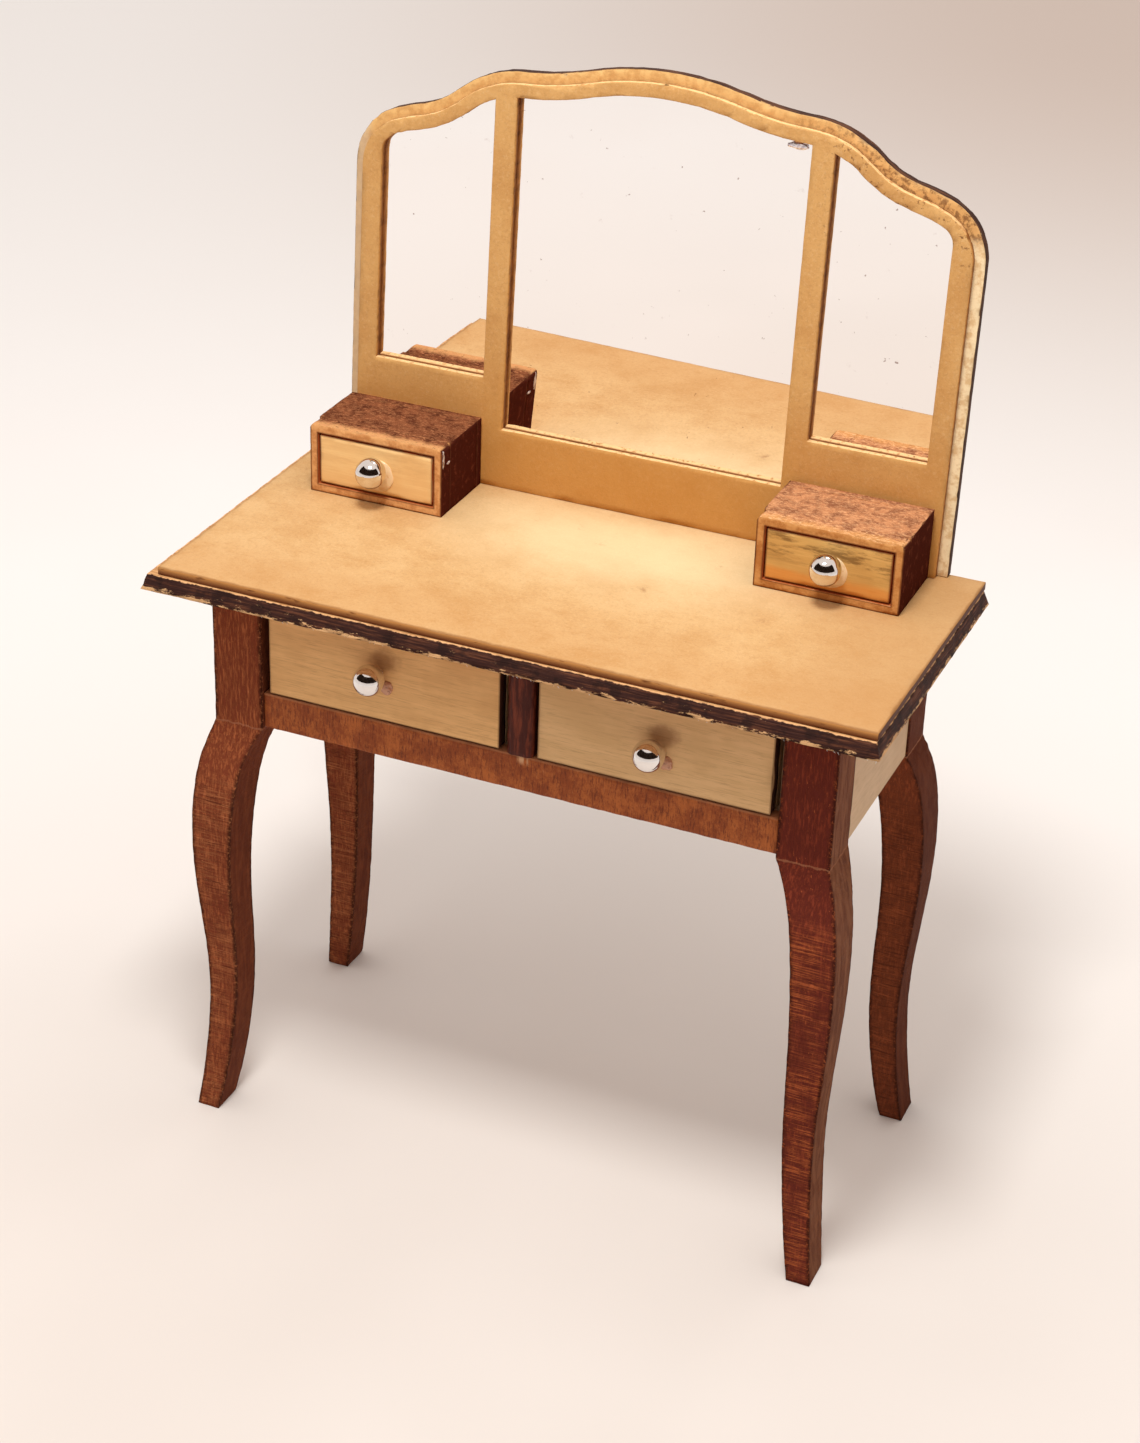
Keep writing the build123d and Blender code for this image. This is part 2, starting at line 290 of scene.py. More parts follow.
def cleaned(node_name):
    """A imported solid's shell, with its flat faces whole."""
    shell = bmesh.new()
    shell.from_mesh(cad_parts[node_name].data)
    bmesh.ops.remove_doubles(shell, verts=shell.verts, dist=1e-6)
    bmesh.ops.dissolve_limit(shell, angle_limit=radians(0.2), verts=shell.verts, edges=shell.edges)
    return shell


def eased(node_name, easing):
    """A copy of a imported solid's mesh with its sharp corners worn round."""
    shell, corner_angle = cleaned(node_name), radians(28)
    corners = [e for e in shell.edges if e.is_manifold and e.calc_face_angle() > corner_angle]
    bmesh.ops.bevel(
        shell, geom=corners, offset=easing, offset_type="OFFSET", segments=2, profile=0.5,
        affect="EDGES", clamp_overlap=True,
    )
    return poured(shell, bpy.data.meshes.new(node_name + "_eased"), sharp_angle=40)


def rubbed(mesh, spacing, chips, dents, grit):
    """The mesh cut into small faces, then its corners chipped and its faces dented inwards. It
    counts as flat where its normal nearly follows an axis, and as a corner elsewhere."""
    shell = bmesh.new()
    shell.from_mesh(mesh)
    for axis in range(3):
        values = [vert.co[axis] for vert in shell.verts]
        low, high = min(values), max(values)
        count = int((high - low) / spacing[axis])
        for index in range(1, count):
            point = Vector((0, 0, 0))
            point[axis] = low + (high - low) * index / count
            normal = Vector((0, 0, 0))
            normal[axis] = 1
            everything = shell.verts[:] + shell.edges[:] + shell.faces[:]
            bmesh.ops.bisect_plane(shell, geom=everything, plane_co=point, plane_no=normal)
    shell.normal_update()
    flat_from, corner_over, falloff, gap, octaves = 0.985, 0.08, 1.0, 2.0, 4
    for vert in shell.verts:
        flatness = max(abs(value) for value in vert.normal)
        corner = min(max((flat_from - flatness) / corner_over, 0), 1)
        rough = noise.fractal(vert.co / grit, falloff, gap, octaves)
        depth = corner * chips * max(rough + 0.15, 0) + dents * (0.5 + 0.5 * rough)
        vert.co -= vert.normal * depth
    return poured(shell, mesh, sharp_angle=55)


def worn_piece(name, stands_for, finish, body, slot, easing, spacing, chips, dents, grit):
    """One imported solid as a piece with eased, chipped corners and dented faces."""
    mesh = rubbed(eased(stands_for, easing), spacing, chips, dents, grit)
    return new_piece(name, mesh, finish, body, slot, stands_for)


def facing_of(tree):
    """The surface's normal, as three parts."""
    return parts(tree, tree.nodes["Texture Coordinate"].outputs["Normal"])


def wander(tree, place, size, detail, reach):
    """A soft random shift, at most about half this reach either way."""
    return times(tree, minus(tree, cloud(tree, place, size, detail), 0.5), reach)


board_low, board_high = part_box("top_board")
sheet_low, sheet_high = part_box("top_sheet")

burnt_edge, tree, shader, place = new_finish("burnt_board_edge", 0.68)
z = parts(tree, place)[2]
along = stretched(tree, place, (0.22, 0.22, 5.0))
streaks = band(tree, cloud(tree, along, 1.0, 5.0, 0.62), 0.46, 0.66)
base = coat(tree, srgb(56, 28, 22), srgb(112, 66, 44), streaks, 0.75)
soot = band(tree, cloud(tree, place, 1.4, 4.0), 0.48, 0.62)
base = coat(tree, base, srgb(38, 18, 14), soot, 0.7)
board_top, board_foot = board_high.z * to_mm, board_low.z * to_mm
height = plus(tree, z, wander(tree, place, 0.5, 5.0, 0.35))
rim = band(tree, height, board_top - 0.10, board_top - 0.02)
base = coat(tree, base, srgb(236, 180, 126), rim)
flaked = cloud(tree, stretched(tree, place, (0.32, 0.32, 1.3)), 0.60, 6.0, 0.75)
low_edge = band(tree, z, board_foot + 0.62, board_foot + 0.05)
flaked = plus(tree, flaked, times(tree, low_edge, 0.20))
base = coat(tree, base, srgb(226, 176, 124), band(tree, flaked, 0.645, 0.69), 0.95)
nicks = band(tree, cloud(tree, place, 0.22, 3.0, 0.7), 0.70, 0.76)
base = coat(tree, base, srgb(196, 140, 112), nicks, 0.7)
grain = band(tree, cloud(tree, stretched(tree, place, (0.1, 1, 1)), 0.5, 4.0), 0.36, 0.66)
bare_ply = coat(tree, srgb(220, 168, 114), srgb(168, 114, 68), grain)
base = coat(tree, base, bare_ply, band(tree, size_of(tree, facing_of(tree)[2]), 0.88, 0.96))
colour(tree, shader, base)
relief(tree, shader, cloud(tree, along, 0.6, 5.0), 0.00018, 0.9)

worn_piece(
    "tabletop_board", "top_board", burnt_edge, "table", "dark_edged_ply",
    easing=0.00007, spacing=(0.00045, 0.00045, 0.00039), chips=0.00016, dents=0.00004, grit=0.0011,
)

# Torn fibres that hang on along the board's lower edges, where the saw or the laser left them
splinter_wood, tree, shader, place = new_finish("splinter_wood", 0.7)
charred = band(tree, cloud(tree, place, 0.9, 3.0), 0.45, 0.62)
colour(tree, shader, coat(tree, srgb(222, 176, 132), srgb(120, 70, 50), charred))

splinters = bpy.data.node_groups.new("splinters", "GeometryNodeTree")
for name, kind in (
    ("Start", "Vector"), ("End", "Vector"), ("Count", "Int"), ("Length", "Float"),
    ("Girth", "Float"), ("Drift", "Float"), ("Turn", "Float"), ("Seed", "Int"),
):
    splinters.interface.new_socket(name, in_out="INPUT", socket_type=f"NodeSocket{kind}")
splinters.interface.new_socket("Geometry", in_out="OUTPUT", socket_type="NodeSocketGeometry")
given = splinters.nodes.new("NodeGroupInput").outputs
line = node(
    splinters, "GeometryNodeMeshLine", {"mode": "END_POINTS"}, Count=given["Count"],
    **{"Start Location": given["Start"], "Offset": given["End"]},
).outputs[0]


def scattered(low, high, seed):
    """A random value for each splinter."""
    made = node(
        splinters, "FunctionNodeRandomValue", {"data_type": "FLOAT"}, n2=low, n3=high,
        Seed=plus(splinters, given["Seed"], seed),
    )
    return made.outputs[1]


back = times(splinters, given["Drift"], -1.0)
shake = node(
    splinters, "ShaderNodeCombineXYZ", X=scattered(back, given["Drift"], 1.0),
    Y=scattered(back, given["Drift"], 2.0), Z=scattered(back, given["Drift"], 3.0),
).outputs[0]
line = node(splinters, "GeometryNodeSetPosition", Geometry=line, Offset=shake).outputs[0]
sliver = node(splinters, "GeometryNodeMeshCone", **{
    "Vertices": 5, "Side Segments": 1, "Fill Segments": 1, "Radius Top": 0.0,
    "Radius Bottom": given["Girth"], "Depth": given["Length"],
}).outputs[0]
lean_over = node(
    splinters, "ShaderNodeCombineXYZ", X=scattered(2.25, 2.75, 4.0), Y=scattered(-0.2, 0.2, 5.0),
    Z=plus(splinters, given["Turn"], scattered(-0.35, 0.35, 6.0)),
).outputs[0]
spread = node(
    splinters, "GeometryNodeInstanceOnPoints", Points=line, Instance=sliver,
    Rotation=node(splinters, "FunctionNodeEulerToRotation", n0=lean_over).outputs[0],
    Scale=node(
        splinters, "ShaderNodeCombineXYZ", X=scattered(0.4, 1.5, 7.0), Y=scattered(0.4, 1.2, 8.0),
        Z=scattered(0.2, 1.2, 9.0),
    ).outputs[0],
).outputs[0]
spread = node(splinters, "GeometryNodeRealizeInstances", Geometry=spread).outputs[0]
splinters.links.new(spread, splinters.nodes.new("NodeGroupOutput").inputs[0])


def grown(name, group, **sizes):
    """A plain mesh made by a node group from these sizes."""
    holder = bpy.data.objects.new(name, bpy.data.meshes.new(name))
    bpy.context.scene.collection.objects.link(holder)
    growth = holder.modifiers.new("growth", "NODES")
    growth.node_group = group
    for socket in group.interface.items_tree:
        if socket.in_out == "INPUT" and socket.name in sizes:
            growth[socket.identifier] = sizes[socket.name]
    ready = holder.evaluated_get(bpy.context.evaluated_depsgraph_get())
    mesh = bpy.data.meshes.new_from_object(ready)
    bpy.data.objects.remove(holder)
    return mesh


edge_inset, left_gap = 0.00042, 0.006
low_z = board_low.z + 0.00003
front_y, rear_y = board_low.y + edge_inset, board_high.y - edge_inset
left_x, right_x = board_low.x + left_gap, board_high.x - edge_inset
for name, start, end, count, turn in (
    ("front", (left_x, front_y, low_z), (right_x, front_y, low_z), 150, pi / 2),
    ("right", (right_x, front_y, low_z), (right_x, rear_y, low_z), 40, 0.0),
):
    mesh = grown(
        f"board_splinters_{name}", splinters, Start=start, End=end, Count=count, Length=0.0004,
        Girth=0.00007, Drift=0.00005, Turn=turn, Seed=len(name),
    )
    new_piece(f"board_splinters_{name}", mesh, splinter_wood, "table", "dark_edged_ply")


# ---- Tabletop card ----
# Kraft card glued on the board and sanded: warm tan, faintly mottled and flecked, scorched
# brown along its cut sides, a little short of the board at the left.

def kraft_face(tree, place, light, deep, fleck):
    """Mottled card with pale fibres and dark flecks."""
    base = coat(tree, light, deep, band(tree, cloud(tree, place, 7.0, 3.0, 0.5), 0.36, 0.70), 0.6)
    fibres = cloud(tree, stretched(tree, place, (0.7, 1.0, 1.0), turn=(0, 0, 0.3)), 1.9, 10.0, 0.88)
    base = coat(tree, base, deep, band(tree, fibres, 0.46, 0.66), 0.6)
    base = coat(tree, base, light, band(tree, fibres, 0.50, 0.34), 0.7)
    grains = band(tree, cloud(tree, place, 0.30, 4.0, 0.8), 0.50, 0.62)
    base = coat(tree, base, fleck, grains, 0.15)
    pale_grains = band(tree, cloud(tree, place, 0.36, 4.0, 0.8), 0.52, 0.64)
    base = coat(tree, base, srgb(250, 222, 178), pale_grains, 0.11)
    flecks = band(tree, cloud(tree, place, 0.9, 6.0, 0.85), 0.66, 0.72)
    return coat(tree, base, fleck, flecks, 0.45)


card_top, tree, shader, place = new_finish("tabletop_card", 0.6)
x, y, z = parts(tree, place)
base = kraft_face(tree, place, srgb(212, 170, 118), srgb(192, 142, 86), srgb(134, 84, 44))
left, front = sheet_low.x * to_mm, sheet_low.y * to_mm
right, rear = sheet_high.x * to_mm, sheet_high.y * to_mm
# A painted pool of light: the card is paler towards the rear middle, where the mirror throws the
# lamp's light back onto it
lit_patch_x, lit_patch_y, lit_patch_width, lit_patch_depth = 4.0, rear - 9.0, 24, 11
lit_patch_place = stretched(
    tree, place, (1 / lit_patch_width, 1 / lit_patch_depth, 0),
    shift=(-lit_patch_x / lit_patch_width, -lit_patch_y / lit_patch_depth, 0),
)
wear_and_light = plus(tree, length_of(tree, lit_patch_place), times(tree, cloud(tree, place, 5.0, 3.0), 0.5))
base = coat(tree, base, srgb(238, 212, 166), band(tree, wear_and_light, 1.5, 0.3), 0.66)
base = coat(tree, base, srgb(186, 138, 88), band(tree, x, right - 16, right - 4), 0.55)
base = coat(tree, base, srgb(188, 132, 76), band(tree, y, front + 12, front + 2), 0.35)
smudge = band(tree, cloud(tree, place, 3.4, 4.0, 0.65), 0.66, 0.80)
base = coat(tree, base, srgb(150, 98, 56), smudge, 0.55)
wobble = wander(tree, place, 1.6, 4.0, 0.5)
near_front = band(tree, plus(tree, y, wobble), front + 0.32, front + 0.02)
near_right = band(tree, plus(tree, x, wobble), right - 0.35, right - 0.05)
near_left = band(tree, plus(tree, x, wobble), left + 0.40, left + 0.05)
base = coat(tree, base, srgb(146, 92, 44), most(tree, near_front, near_right, near_left), 0.62)
facing = facing_of(tree)
side_height = band(tree, z, sheet_low.z * to_mm + 0.15, sheet_high.z * to_mm)
side_tone = coat(tree, srgb(116, 66, 32), srgb(196, 134, 72), side_height)
layers = band(tree, cloud(tree, stretched(tree, place, (0.4, 0.4, 2)), 0.7, 4.0), 0.55, 0.7)
side_tone = coat(tree, side_tone, srgb(120, 70, 34), layers)
side_tone = coat(tree, side_tone, srgb(92, 52, 34), band(tree, facing[0], 0.5, 0.8))
base = coat(tree, base, side_tone, band(tree, facing[2], 0.6, 0.25))
colour(tree, shader, base)
relief(tree, shader, cloud(tree, place, 0.20, 5.0, 0.6), 0.00004, 0.7)

worn_piece(
    "tabletop_card", "top_sheet", card_top, "table", "kraft_card",
    easing=0.00010, spacing=(0.0009, 0.0009, 0.00028), chips=0.00010, dents=0.00002, grit=0.0016,
)


# ---- Legs ----
# Curved legs of solid wood under square blocks, stained a dark reddish brown. The grain runs
# up the blocks; the curved part shows the fine level marks of the cut and charred corners.

def note_edges(mesh, slice_height):
    """Store how far each point lies from the leg's nearest long corner, in millimetres."""
    spans = {}
    for vert in mesh.vertices:
        level = round(vert.co.z / slice_height)
        span = spans.setdefault(level, [vert.co.x, vert.co.x, vert.co.y, vert.co.y])
        span[0], span[1] = min(span[0], vert.co.x), max(span[1], vert.co.x)
        span[2], span[3] = min(span[2], vert.co.y), max(span[3], vert.co.y)
    distances = mesh.attributes.new("corner_distance", "FLOAT", "POINT")
    for vert in mesh.vertices:
        span = spans[round(vert.co.z / slice_height)]
        x, y = vert.co.x, vert.co.y
        gaps = sorted((x - span[0], span[1] - x, y - span[2], span[3] - y))
        distances.data[vert.index].value = gaps[1] * to_mm


block_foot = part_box("front_rail")[0].z * to_mm - 0.2


def stained(name, deep, middle, light, flank_tones, marks):
    """Dark stain over upright grain, with level saw marks this strong below the block."""
    made, tree, shader, place = new_finish(name, 0.6, 0.02)
    z = parts(tree, place)[2]
    fibre = stretched(tree, place, (1.0, 1.0, 0.13))
    grain = band(tree, cloud(tree, fibre, 0.22, 6.0, 0.78), 0.42, 0.60)
    tone = coat(tree, deep, middle, grain)
    level = stretched(tree, place, (0.035, 0.035, 1.0))
    cuts = band(tree, cloud(tree, level, 0.12, 4.0, 0.7), 0.48, 0.57)
    patches = band(tree, cloud(tree, stretched(tree, place, (1.0, 1.0, 0.5)), 3.2, 4.0), 0.32, 0.60)
    below = band(tree, z, block_foot - 4.0, block_foot - 9.0)
    sawn = times(tree, cuts, times(tree, below, patches))
    tone = coat(tree, tone, light, sawn, marks)
    dark_cuts = band(tree, cloud(tree, level, 0.13, 3.0, 0.6), 0.54, 0.66)
    burnt_cut = coat(tree, deep, srgb(40, 16, 12), 0.4)
    tone = coat(tree, tone, burnt_cut, times(tree, dark_cuts, below), 0.85)
    blotch = band(tree, cloud(tree, place, 3.0, 4.0), 0.46, 0.70)
    tone = coat(tree, tone, deep, blotch, 0.55)
    ticks = band(
        tree, cloud(tree, stretched(tree, place, (1.0, 1.0, 0.30)), 0.17, 3.0, 0.7), 0.64, 0.72
    )
    tone = coat(tree, tone, light, ticks, 0.75)
    flank = band(tree, size_of(tree, facing_of(tree)[0]), 0.72, 0.92)
    tilted = stretched(tree, place, (1.0, 0.9, 0.2), turn=(0.3, 0, 0))
    swirl = node(
        tree, "ShaderNodeTexNoise", Vector=tilted, Scale=1.5, Detail=6.0, Distortion=0.8
    ).outputs["Fac"]
    flank_tone = coat(tree, *flank_tones, band(tree, swirl, 0.32, 0.70))
    tone = coat(tree, tone, flank_tone, flank, 0.85)
    ragged = wander(tree, place, 0.6, 4.0, 0.5)
    corner = node(tree, "ShaderNodeAttribute", {"attribute_name": "corner_distance"}).outputs["Fac"]
    charred = band(tree, plus(tree, corner, ragged), 0.50, 0.05)
    tone = coat(tree, tone, srgb(54, 26, 20), charred, 0.72)
    rubs = band(tree, cloud(tree, place, 0.3, 5.0, 0.75), 0.53, 0.60)
    wear_and_light = times(tree, band(tree, corner, 0.45, 0.12), rubs)
    tone = coat(tree, tone, light, wear_and_light, 0.55)
    seam = size_of(tree, minus(tree, plus(tree, z, ragged), block_foot))
    tone = coat(tree, tone, srgb(178, 116, 84), band(tree, seam, 0.13, 0.04), 0.62)
    colour(tree, shader, tone)
    height = plus(tree, times(tree, cuts, below), grain)
    relief(tree, shader, height, 0.00006, 0.8)
    return made


red_stain = stained(
    "right_leg_stain", deep=srgb(102, 43, 34), middle=srgb(134, 60, 42), light=srgb(204, 108, 62),
    flank_tones=(srgb(120, 72, 50), srgb(154, 102, 72)), marks=0.85,
)
rear_stain = stained(
    "rear_right_leg_stain", deep=srgb(112, 57, 36), middle=srgb(144, 74, 46),
    light=srgb(170, 90, 54), flank_tones=(srgb(88, 42, 26), srgb(112, 58, 36)), marks=0.5,
)
brown_stain = stained(
    "left_leg_stain", deep=srgb(126, 60, 39), middle=srgb(170, 94, 58), light=srgb(206, 130, 84),
    flank_tones=(srgb(104, 50, 32), srgb(130, 68, 42)), marks=0.5,
)
leg_stains = {
    "front_left": brown_stain, "front_right": red_stain, "rear_left": brown_stain,
    "rear_right": rear_stain,
}
for corner, stain in leg_stains.items():
    leg = worn_piece(
        f"{corner}_leg", f"leg_{corner}", stain, "table", "stained_wood", easing=0.00014,
        spacing=(0.00065, 0.00065, 0.00045), chips=0.00018, dents=0.00005, grit=0.0012,
    )
    note_edges(leg.data, slice_height=0.0005)


# ---- Front rail and centre post ----
# The rail under the drawers and the rounded post between them, in the legs' stain: the rail
# more orange, with short upright scratches, the post nearly black.

rail_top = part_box("front_rail")[1].z * to_mm
post_low, post_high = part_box("centre_post")
rail_stain, tree, shader, place = new_finish("rail_stain", 0.55)
x, _, z = parts(tree, place)
patches = band(
    tree, cloud(tree, stretched(tree, place, (0.6, 1.0, 0.5)), 1.5, 8.0, 0.8), 0.42, 0.60
)
tone = coat(tree, srgb(142, 70, 34), srgb(178, 98, 48), patches)
fibre = stretched(tree, place, (1.0, 1.0, 0.16))
dark_strokes = band(tree, cloud(tree, fibre, 0.14, 5.0, 0.75), 0.50, 0.62)
tone = coat(tree, tone, srgb(98, 44, 26), dark_strokes, 0.75)
pale_strokes = band(tree, cloud(tree, fibre, 0.16, 3.0, 0.65), 0.62, 0.72)
tone = coat(tree, tone, srgb(198, 126, 78), pale_strokes, 0.55)
# A painted highlight: a paler band along the rail's top edge and the top of its front face
tone = coat(tree, tone, srgb(190, 128, 88), band(tree, z, rail_top - 0.30, rail_top - 0.06), 0.6)
drip_middle = (post_low.x + post_high.x) / 2 * to_mm + 0.4
from_drip = size_of(tree, minus(tree, x, drip_middle))
drip = times(tree, band(tree, from_drip, 0.8, 0.2), band(tree, z, rail_top - 1.1, rail_top - 0.4))
drip = times(tree, drip, band(tree, cloud(tree, fibre, 0.5), 0.4, 0.5))
tone = coat(tree, tone, srgb(214, 164, 122), drip)
colour(tree, shader, tone)
relief(tree, shader, cloud(tree, fibre, 0.25, 4.0), 0.00008, 0.8)
worn_piece(
    "front_rail_board", "front_rail", rail_stain, "table", "stained_wood",
    easing=0.00012, spacing=(0.0007, 0.0007, 0.0005), chips=0.00012, dents=0.00003, grit=0.0012,
)

post_stain, tree, shader, place = new_finish("post_stain", 0.45)
fibre = stretched(tree, place, (1.0, 1.0, 0.14))
grain = band(tree, cloud(tree, fibre, 0.45, 4.0, 0.65), 0.42, 0.66)
tone = coat(tree, srgb(70, 25, 16), srgb(116, 52, 32), grain)
ticks = band(tree, cloud(tree, place, 0.20, 3.0, 0.7), 0.68, 0.76)
tone = coat(tree, tone, srgb(150, 108, 92), ticks, 0.6)
colour(tree, shader, tone)
relief(tree, shader, cloud(tree, fibre, 0.3, 4.0), 0.00008, 0.7)
worn_piece(
    "post_between_drawers", "centre_post", post_stain, "table", "stained_wood",
    easing=0.0001, spacing=(0.0007, 0.0007, 0.0005), chips=0.00015, dents=0.00005, grit=0.0010,
)


# ---- Aprons, shelf, divider and guides ----
# Bare pale plywood strips behind and beside the drawers, glued between the leg blocks.

def birch(name, light, deep, stripe, along):
    """Bare pale wood with fine grain along x or y: its finish, tree, shader, place and colour."""
    made, tree, shader, place = new_finish(name, 0.55)
    run = stretched(tree, place, {"x": (0.05, 1.0, 1.0), "y": (1.0, 0.05, 1.0)}[along])
    tone = coat(tree, light, deep, band(tree, cloud(tree, run, 0.6, 4.0, 0.66), 0.38, 0.66), 0.45)
    tone = coat(tree, tone, stripe, band(tree, cloud(tree, run, 0.12, 3.0, 0.7), 0.50, 0.66), 0.42)
    tone = coat(tree, tone, deep, band(tree, cloud(tree, place, 5.0, 3.0), 0.40, 0.70), 0.6)
    colour(tree, shader, tone)
    relief(tree, shader, cloud(tree, run, 0.16, 4.0), 0.00003, 0.6)
    return made, tree, shader, place, tone


def dress(finish, *node_names):
    """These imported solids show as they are, in this finish."""
    for name in node_names:
        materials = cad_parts[name].data.materials
        materials.clear()
        materials.append(finish)


apron_wood = birch(
    "apron_wood", srgb(214, 180, 142), srgb(196, 160, 122), srgb(172, 136, 100), "y"
)[0]
back_wood = birch(
    "back_apron_wood", srgb(204, 168, 128), srgb(184, 144, 104), srgb(154, 114, 78), "x"
)[0]
dress(
    apron_wood, "side_apron_left", "side_apron_right", "drawer_guide_left", "drawer_guide_right",
    "centre_divider",
)
dress(back_wood, "back_apron", "drawer_shelf")


# ---- Main drawers ----
# Open boxes of thin plywood with pale birch fronts, bare but for a scorched hairline round
# the edges of each front and a brown smudge of glue above each knob.

def box_in_mm(node_name):
    """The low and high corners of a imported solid, in millimetres."""
    return [corner * to_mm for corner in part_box(node_name)]


def rim_of(tree, place, low, high, across, up):
    """One along the outline of a drawer front and zero inside it. Each pair says how far in from
    the outline the fade ends and starts."""
    x, _, z = parts(tree, place)
    return most(
        tree,
        band(tree, x, low.x + across[0], low.x + across[1]),
        band(tree, x, high.x - across[0], high.x - across[1]),
        band(tree, z, low.z + up[0], low.z + up[1]),
        band(tree, z, high.z - up[0], high.z - up[1]),
    )


front_tones = {
    "left": (srgb(232, 182, 122), srgb(210, 158, 100), srgb(178, 130, 80)),
    "right": (srgb(224, 182, 130), srgb(204, 162, 110), srgb(168, 128, 84)),
}
box_tones = (srgb(212, 176, 130), srgb(192, 152, 106), srgb(164, 124, 84))
box_panels = ("side_left", "side_right", "bottom", "back")
for side in ("left", "right"):
    low, high = box_in_mm(f"drawer_{side}_front")
    knob_low, knob_high = box_in_mm(f"drawer_{side}_knob")
    made, tree, shader, place, tone = birch(f"drawer_front_wood_{side}", *front_tones[side], "x")
    stain_x, stain_z = (knob_low.x + knob_high.x) / 2 + 0.8, (knob_low.z + knob_high.z) / 2 + 1.5
    stain_place = stretched(tree, place, (0.75, 0, 0.9), shift=(-stain_x * 0.75, 0, -stain_z * 0.9))
    spread = plus(
        tree, length_of(tree, stain_place), times(tree, cloud(tree, place, 1.2, 3.0), 1.2)
    )
    tone = coat(tree, tone, srgb(128, 74, 42), band(tree, spread, 2.1, 1.1), 0.55)
    rim = rim_of(tree, place, low, high, (0.22, 0.05), (0.20, 0.04))
    tone = coat(tree, tone, srgb(108, 66, 38), rim, 0.65)
    tone = coat(
        tree, tone, srgb(62, 32, 22), band(tree, size_of(tree, facing_of(tree)[1]), 0.7, 0.4)
    )
    colour(tree, shader, tone)
    worn_piece(
        f"{side}_drawer_front", f"drawer_{side}_front", made, f"drawer_{side}", "pale_wood",
        easing=0.00012, spacing=(0.0009, 0.0009, 0.0009), chips=0.00006, dents=0.00002, grit=0.0015,
    )
    box_wood = birch(f"drawer_box_wood_{side}", *box_tones, "y")[0]
    dress(box_wood, *(f"drawer_{side}_{panel}" for panel in box_panels))


# ---- Knobs ----
# Bright metal balls on short necks, one near the middle of each drawer front, each held by a
# bead of glue that has crept out round its foot.

bright_metal, tree, shader, place = new_finish("bright_metal", 0.07, metallic=1.0)
colour(tree, shader, coat(tree, srgb(240, 236, 232), srgb(224, 220, 218), cloud(tree, place, 0.8)))
relief(tree, shader, cloud(tree, place, 0.5, 3.0), 0.00002, 0.3)

glue_tones = {
    "drawer": (srgb(196, 142, 110), srgb(120, 72, 46)),
    "small_drawer": (srgb(242, 210, 166), srgb(232, 190, 138)),
}
glues = {}
for kind, (pale, dark) in glue_tones.items():
    glues[kind], tree, shader, place = new_finish(f"{kind}_knob_glue", 0.16, 0.5)
    shader.inputs["Subsurface Weight"].default_value = 0.3
    shader.inputs["Subsurface Radius"].default_value = (0.0006, 0.0004, 0.0003)
    colour(
        tree, shader, coat(tree, pale, dark, band(tree, cloud(tree, place, 0.7, 3.0), 0.52, 0.68))
    )


def glue_bead(name, middle, size, seed, lumps=0.28):
    """A lumpy bead of glue of this half size, round this point."""
    bead = bmesh.new()
    bmesh.ops.create_icosphere(bead, subdivisions=4, radius=1.0)
    for vert in bead.verts:
        swell = 1 + lumps * noise.noise(vert.co * 1.7 + Vector((seed, 0, 0)))
        vert.co = middle + Vector([value * half * swell for value, half in zip(vert.co, size)])
    return poured(bead, bpy.data.meshes.new(name))


def turned_ball(name, middle, radius, foot_at, shank_end):
    """A ball turned round the y axis. Behind it, its neck widens up to foot_at and its shank
    narrows up to shank_end, both counted forward from the ball's middle."""
    steps, round_steps = 40, 64
    ball_end, neck_start = -0.86 * radius, -1.02 * radius
    neck_radius, foot_radius, shank_radius = 0.44 * radius, 0.52 * radius, 0.29 * radius
    angles = [pi * step / steps for step in range(steps + 1)]
    outline = [(radius * cos(angle), radius * sin(angle)) for angle in angles]
    outline = [point for point in outline if point[0] > ball_end]
    outline += [
        (neck_start, neck_radius), (foot_at, foot_radius), (shank_end, shank_radius),
        (shank_end, 0),
    ]
    ball = bmesh.new()
    points = [ball.verts.new(middle + Vector((0, -along, out))) for along, out in outline]
    for first, second in zip(points, points[1:]):
        ball.edges.new((first, second))
    bmesh.ops.spin(
        ball, geom=ball.verts[:] + ball.edges[:], cent=middle, axis=(0, 1, 0), angle=2 * pi,
        steps=round_steps, use_merge=True,
    )
    bmesh.ops.remove_doubles(ball, verts=ball.verts, dist=1e-7)
    bmesh.ops.recalc_face_normals(ball, faces=ball.faces)
    return poured(ball, bpy.data.meshes.new(name), sharp_angle=40)


foot_gap = 0.0001
drawers = ("drawer_left", "drawer_right", "small_drawer_left", "small_drawer_right")
for index, drawer in enumerate(drawers):
    low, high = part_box(f"{drawer}_knob")
    face_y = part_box(f"{drawer}_front")[0].y
    radius = (high.x - low.x) / 2
    middle = Vector(((low.x + high.x) / 2, low.y + radius, (low.z + high.z) / 2))
    foot_at, shank_end = middle.y - face_y - foot_gap, middle.y - high.y
    mesh = turned_ball(f"{drawer}_ball", middle, radius, foot_at, shank_end)
    new_piece(f"{drawer}_ball_knob", mesh, bright_metal, drawer, "bright_metal", f"{drawer}_knob")
    if drawer.startswith("small"):
        kind, slot, lumps = "small_drawer", "small_front_wood", 0.06
        right_by, up_by, size = -0.0001, -0.0009, (0.0018, 0.00030, 0.0017)
    else:
        kind, slot, lumps = "drawer", "pale_wood", 0.2
        right_by, up_by, size = 0.0011, -0.0013, (0.0007, 0.0004, 0.0007)
    bead_middle = Vector((middle.x + right_by, face_y, middle.z + up_by))
    mesh = glue_bead(f"{drawer}_bead", bead_middle, size, index * 3.1, lumps)
    new_piece(f"{drawer}_knob_glue", mesh, glues[kind], drawer, slot)


# ---- Small cases and their drawers ----
# Two little boxes glued on the card in front of the mirror, stained brown with dark sides, each
# with one tan-fronted drawer in a scorched slot.

scorched_slot = srgb(176, 88, 44)


